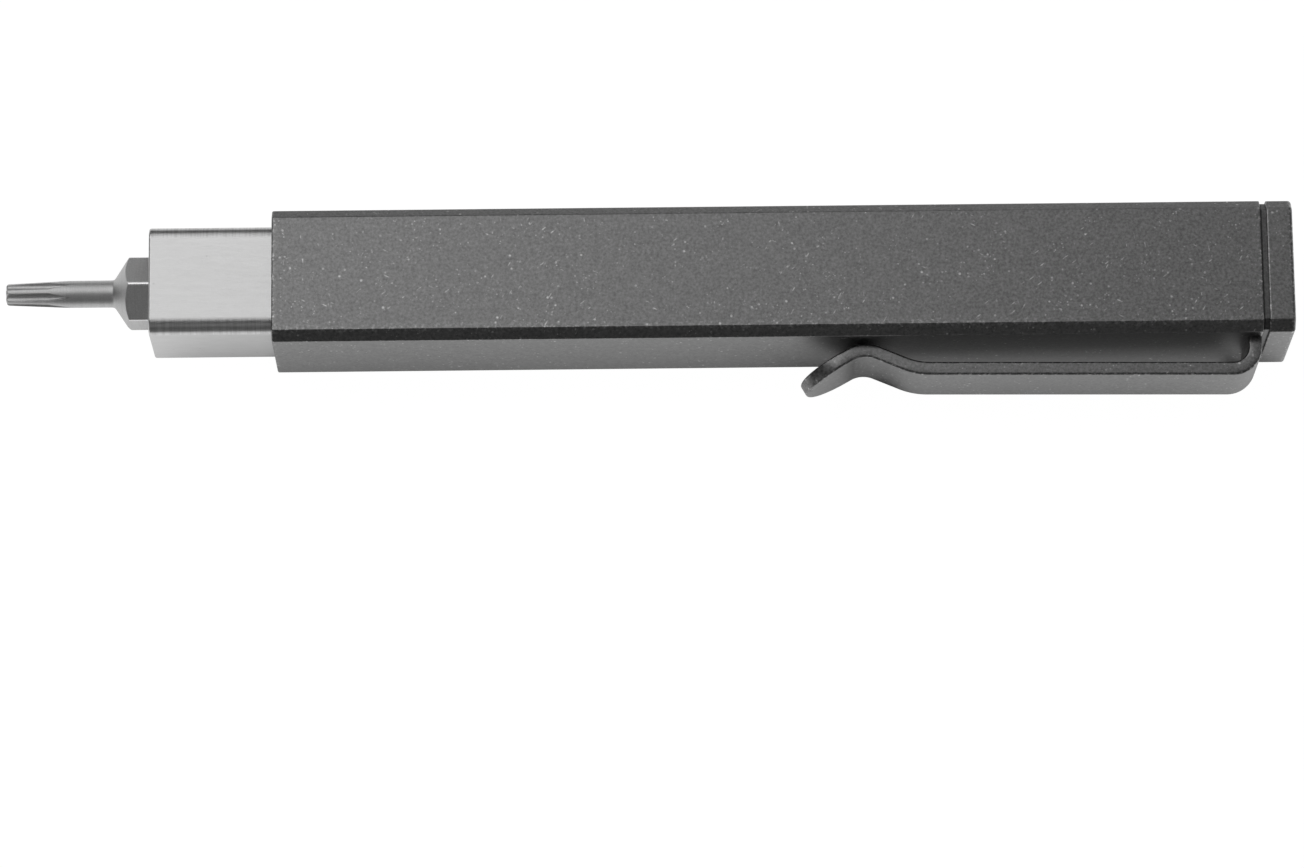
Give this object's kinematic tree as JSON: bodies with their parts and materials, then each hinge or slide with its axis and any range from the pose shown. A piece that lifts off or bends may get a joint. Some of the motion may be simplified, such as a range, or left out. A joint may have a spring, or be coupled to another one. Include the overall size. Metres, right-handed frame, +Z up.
{
  "type": "bit driver",
  "caption": "Slim pocket bit driver: a square brushed bar holding its bits slides out of a chamfered grey metal sleeve with an end cap and a sprung clip.",
  "frame": {"origin": "centre of the sleeve's underside, on the surface that the tool lies on", "axes": "+X along the tool from the driver bit towards the end cap, +Z up, with the pocket clip on the -Y side"},
  "size_m": [0.1233, 0.0174, 0.013],
  "materials": {
    "stonewashed_titanium": "stonewashed, dark grey with pale specks",
    "turned_titanium": "turned",
    "brushed_stainless": "brushed along its length",
    "bit_steel": "satin, hardened tool steel",
    "nickel_plate": "bright nickel plate",
    "black_oxide_steel": "black oxide"
  },
  "bodies": {
    "sleeve": {"sleeve": "stonewashed_titanium", "tail_plug": "turned_titanium", "plug_magnet": "nickel_plate", "end_cap": "stonewashed_titanium", "cap_screw": "black_oxide_steel", "clip_root": "stonewashed_titanium"},
    "clip_arm": {"clip_arm": "stonewashed_titanium"},
    "bit_bar": {"bit_bar": "brushed_stainless", "socket_magnet": "nickel_plate", "bar_magnet": "nickel_plate", "pocket_magnet_1": "nickel_plate", "pocket_magnet_2": "nickel_plate", "pocket_magnet_3": "nickel_plate", "phillips_bit": "bit_steel", "slotted_bit": "bit_steel", "hex_bit": "bit_steel"},
    "driver_bit": {"driver_bit": "bit_steel"}
  },
  "joints": [
    {"name": "bar_slide", "type": "slide", "parent": "sleeve", "child": "bit_bar", "axis": [-1, 0, 0], "range_m": [0, 0.084]},
    {"name": "bit_pull", "type": "slide", "parent": "bit_bar", "child": "driver_bit", "axis": [-1, 0, 0], "range_m": [0, 0.012]},
    {"name": "clip_flex", "type": "hinge", "parent": "sleeve", "child": "clip_arm", "pos_m": [0.04442, -0.0102, 0.0065], "axis": [0, 0, 1], "range_deg": [0, 5], "stiffness_Nm_per_rad": 0.5}
  ]
}
